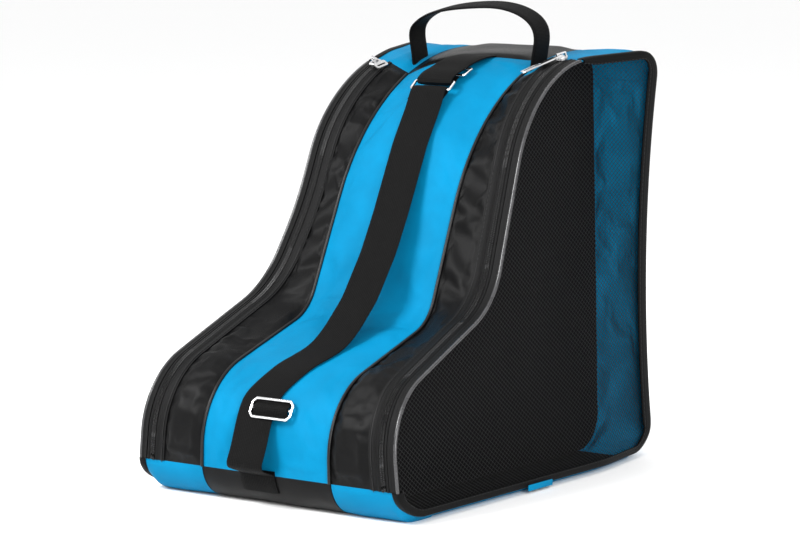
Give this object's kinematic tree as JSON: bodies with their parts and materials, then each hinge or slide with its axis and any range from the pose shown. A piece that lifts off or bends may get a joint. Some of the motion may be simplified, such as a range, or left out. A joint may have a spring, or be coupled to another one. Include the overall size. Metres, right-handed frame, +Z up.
{
  "type": "skate bag",
  "caption": "Boot-shaped carry bag for a pair of skates, with zipped net-sided compartments, a carry handle and an adjustable shoulder strap.",
  "frame": {"origin": "centre of the bag's base, on the floor", "axes": "+Z up, toe faces -Y, width along X, the wearer's right side of the toe view at +X"},
  "size_m": [0.2923, 0.4482, 0.425],
  "materials": {
    "black_net": "knitted spacer net, matt",
    "blue_fabric": "coated polyester, fine plain weave",
    "black_fabric": "coated polyester, fine plain weave",
    "piping": "smooth vinyl piping",
    "black_binding": "ribbed binding tape",
    "zip_tape": "woven zip tape and nylon coil",
    "black_webbing": "ribbed polypropylene webbing",
    "silver_metal": "nickel plated"
  },
  "bodies": {
    "bag": {"binding_tab": "blue_fabric", "handle_ends": "black_webbing", "left_back_panel": "blue_fabric", "left_divider": "black_fabric", "left_edge_binding": "black_binding", "left_floor_panel": "blue_fabric", "left_front_gusset": "black_fabric", "left_net_panel": "black_net", "left_panel_piping": "piping", "left_seam_piping": "piping", "left_toe_cap": "blue_fabric", "left_top_panel": "blue_fabric", "left_zip_chain": "zip_tape", "left_zip_stops": "silver_metal", "left_zip_tape": "zip_tape", "middle_back_panel": "black_fabric", "middle_floor_panel": "black_fabric", "middle_front_panel": "blue_fabric", "middle_toe_cap": "black_fabric", "middle_top_panel": "black_fabric", "middle_zip_chain": "zip_tape", "middle_zip_stops": "silver_metal", "middle_zip_tape": "zip_tape", "right_back_panel": "blue_fabric", "right_divider": "black_fabric", "right_edge_binding": "black_binding", "right_floor_panel": "blue_fabric", "right_front_gusset": "black_fabric", "right_net_panel": "black_net", "right_panel_piping": "piping", "right_seam_piping": "piping", "right_toe_cap": "blue_fabric", "right_top_panel": "blue_fabric", "right_zip_chain": "zip_tape", "right_zip_stops": "silver_metal", "right_zip_tape": "zip_tape", "shoulder_strap": "black_webbing", "strap_anchor": "black_webbing", "strap_tab": "black_webbing", "upper_ring": "silver_metal", "upper_slide": "silver_metal"},
    "right_zip_slider": {"right_zip_slider": "silver_metal"},
    "right_zip_pull": {"right_zip_pull": "silver_metal"},
    "left_zip_slider": {"left_zip_slider": "silver_metal"},
    "left_zip_pull": {"left_zip_pull": "silver_metal"},
    "middle_zip_slider": {"middle_zip_slider": "silver_metal"},
    "middle_zip_pull": {"middle_zip_pull": "silver_metal"},
    "right_net_corner": {"right_net_flap": "black_net", "right_flap_piping": "piping", "right_flap_tape": "zip_tape"},
    "left_net_corner": {"left_net_flap": "black_net", "left_flap_piping": "piping", "left_flap_tape": "zip_tape"},
    "handle_loop": {"handle_loop": "black_webbing"},
    "strap_slide": {"slide_frame": "silver_metal", "slide_bar": "silver_metal"}
  },
  "joints": [
    {"name": "right_zip_run", "type": "hinge", "parent": "bag", "child": "right_zip_slider", "pos_m": [0.1086, 0.14049, 0.22698], "axis": [0.9957, 0, 0.0928], "range_deg": [0, 49]},
    {"name": "right_pull_swing", "type": "hinge", "parent": "right_zip_slider", "child": "right_zip_pull", "pos_m": [0.09446, 0.10528, 0.37886], "axis": [-0.8727, 0.4872, 0.0317], "range_deg": [0, 150]},
    {"name": "left_zip_run", "type": "hinge", "parent": "bag", "child": "left_zip_slider", "pos_m": [-0.1086, 0.14049, 0.22698], "axis": [0.9957, 0, -0.0928], "range_deg": [0, 38]},
    {"name": "left_pull_swing", "type": "hinge", "parent": "left_zip_slider", "child": "left_zip_pull", "pos_m": [-0.09534, 0.07682, 0.36938], "axis": [-0.455, -0.828, -0.3278], "range_deg": [0, 150]},
    {"name": "middle_zip_run", "type": "slide", "parent": "bag", "child": "middle_zip_slider", "axis": [0, 0, -1], "range_m": [0, 0.262]},
    {"name": "middle_pull_swing", "type": "hinge", "parent": "middle_zip_slider", "child": "middle_zip_pull", "pos_m": [0, 0.21655, 0.3325], "axis": [1, 0, 0], "range_deg": [0, 150]},
    {"name": "right_corner_fold", "type": "hinge", "parent": "bag", "child": "right_net_corner", "pos_m": [0.12525, -0.03399, 0.205], "axis": [-0.0703, 0.6529, 0.7542], "range_deg": [0, 100]},
    {"name": "left_corner_fold", "type": "hinge", "parent": "bag", "child": "left_net_corner", "pos_m": [-0.12525, -0.03399, 0.205], "axis": [-0.0745, -0.5956, -0.7998], "range_deg": [0, 100]},
    {"name": "handle_swing", "type": "hinge", "parent": "bag", "child": "handle_loop", "pos_m": [0, 0.11, 0.378], "axis": [1, 0, 0], "range_deg": [-45, 45]},
    {"name": "strap_slide_run", "type": "hinge", "parent": "bag", "child": "strap_slide", "pos_m": [0, -0.137, 0.05022], "axis": [-1, 0, 0], "range_deg": [0, 30]}
  ]
}
